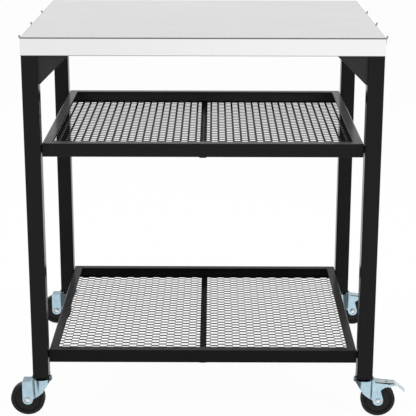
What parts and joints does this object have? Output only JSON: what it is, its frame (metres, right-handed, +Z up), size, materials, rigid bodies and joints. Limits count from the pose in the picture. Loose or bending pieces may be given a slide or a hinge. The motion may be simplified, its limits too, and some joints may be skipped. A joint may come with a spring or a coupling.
{
  "type": "outdoor pizza oven table",
  "caption": "wheeled outdoor work table with a folded stainless top, black legs, hexagonal mesh shelves, side tool hooks and swivel casters with foot brakes",
  "frame": {"origin": "the middle of the overall plan, at floor level", "axes": "+Z up, +X to the right seen from the front and along the longest extent, -Y the front"},
  "size_m": [0.8874, 0.614, 0.858],
  "materials": {
    "stainless_top": "fine satin stainless sheet",
    "galvanised": "galvanised sheet",
    "black_frame": "satin black powder coat",
    "black_mesh": "satin black powder coat on expanded sheet",
    "zinc": "bright blue zinc plate",
    "hook_steel": "satin stainless strip",
    "rivet_steel": "bright rivets",
    "black_plastic": "moulded black",
    "wheel_black": "hard black wheel, soft sheen",
    "bush_steel": "steel sleeve",
    "axle_steel": "bright plated bolt"
  },
  "bodies": {
    "frame": {"tabletop": "stainless_top", "top_stiffeners": "galvanised", "leg_front_left": "black_frame", "leg_front_right": "black_frame", "leg_rear_left": "black_frame", "leg_rear_right": "black_frame", "top_rail_front": "black_frame", "top_rail_rear": "black_frame", "top_rail_left": "black_frame", "top_rail_right": "black_frame", "front_gussets": "black_frame", "rear_gussets": "black_frame", "top_studs": "zinc", "top_nuts": "zinc", "upper_shelf_front_rail": "black_frame", "upper_shelf_rear_rail": "black_frame", "upper_shelf_left_rail": "black_frame", "upper_shelf_right_rail": "black_frame", "upper_shelf_mesh": "black_mesh", "upper_shelf_crossbar": "black_frame", "lower_shelf_front_rail": "black_frame", "lower_shelf_rear_rail": "black_frame", "lower_shelf_left_rail": "black_frame", "lower_shelf_right_rail": "black_frame", "lower_shelf_mesh": "black_mesh", "lower_shelf_crossbar": "black_frame", "shelf_spacers": "black_plastic", "shelf_bolts": "zinc", "tool_hooks_left": "hook_steel", "tool_hooks_right": "hook_steel", "hook_rivets": "rivet_steel", "leg_plugs": "black_plastic", "front_left_stem": "zinc", "front_right_stem": "zinc", "rear_left_stem": "zinc", "rear_right_stem": "zinc"},
    "front_left_swivel": {"front_left_fork": "zinc", "front_left_bush": "bush_steel", "front_left_axle": "axle_steel", "front_left_axle_nut": "axle_steel"},
    "front_left_roller": {"front_left_wheel": "wheel_black"},
    "front_right_swivel": {"front_right_fork": "zinc", "front_right_bush": "bush_steel", "front_right_axle": "axle_steel", "front_right_axle_nut": "axle_steel", "front_right_lever_pin": "axle_steel"},
    "front_right_roller": {"front_right_wheel": "wheel_black"},
    "front_right_brake": {"front_right_brake_lever": "zinc"},
    "rear_left_swivel": {"rear_left_fork": "zinc", "rear_left_bush": "bush_steel", "rear_left_axle": "axle_steel", "rear_left_axle_nut": "axle_steel"},
    "rear_left_roller": {"rear_left_wheel": "wheel_black"},
    "rear_right_swivel": {"rear_right_fork": "zinc", "rear_right_bush": "bush_steel", "rear_right_axle": "axle_steel", "rear_right_axle_nut": "axle_steel", "rear_right_lever_pin": "axle_steel"},
    "rear_right_roller": {"rear_right_wheel": "wheel_black"},
    "rear_right_brake": {"rear_right_brake_lever": "zinc"}
  },
  "joints": [
    {"name": "front_left_swivel_joint", "type": "hinge", "parent": "frame", "child": "front_left_swivel", "pos_m": [-0.37352, -0.2835, 0.0825], "axis": [0, 0, 1], "continuous": true},
    {"name": "front_left_wheel_joint", "type": "hinge", "parent": "front_left_swivel", "child": "front_left_roller", "pos_m": [-0.40552, -0.2835, 0.0382], "axis": [0, 1, 0], "continuous": true},
    {"name": "front_right_swivel_joint", "type": "hinge", "parent": "frame", "child": "front_right_swivel", "pos_m": [0.35148, -0.2835, 0.0825], "axis": [0, 0, 1], "continuous": true},
    {"name": "front_right_wheel_joint", "type": "hinge", "parent": "front_right_swivel", "child": "front_right_roller", "pos_m": [0.38348, -0.2835, 0.0382], "axis": [0, 1, 0], "continuous": true},
    {"name": "front_right_brake_joint", "type": "hinge", "parent": "front_right_swivel", "child": "front_right_brake", "pos_m": [0.40648, -0.2835, 0.0753], "axis": [0, 1, 0], "range_deg": [0, 10]},
    {"name": "rear_left_swivel_joint", "type": "hinge", "parent": "frame", "child": "rear_left_swivel", "pos_m": [-0.37352, 0.2835, 0.0825], "axis": [0, 0, 1], "continuous": true},
    {"name": "rear_left_wheel_joint", "type": "hinge", "parent": "rear_left_swivel", "child": "rear_left_roller", "pos_m": [-0.40552, 0.2835, 0.0382], "axis": [0, 1, 0], "continuous": true},
    {"name": "rear_right_swivel_joint", "type": "hinge", "parent": "frame", "child": "rear_right_swivel", "pos_m": [0.35148, 0.2835, 0.0825], "axis": [0, 0, 1], "continuous": true},
    {"name": "rear_right_wheel_joint", "type": "hinge", "parent": "rear_right_swivel", "child": "rear_right_roller", "pos_m": [0.38348, 0.2835, 0.0382], "axis": [0, 1, 0], "continuous": true},
    {"name": "rear_right_brake_joint", "type": "hinge", "parent": "rear_right_swivel", "child": "rear_right_brake", "pos_m": [0.40648, 0.2835, 0.0753], "axis": [0, 1, 0], "range_deg": [0, 10]}
  ]
}
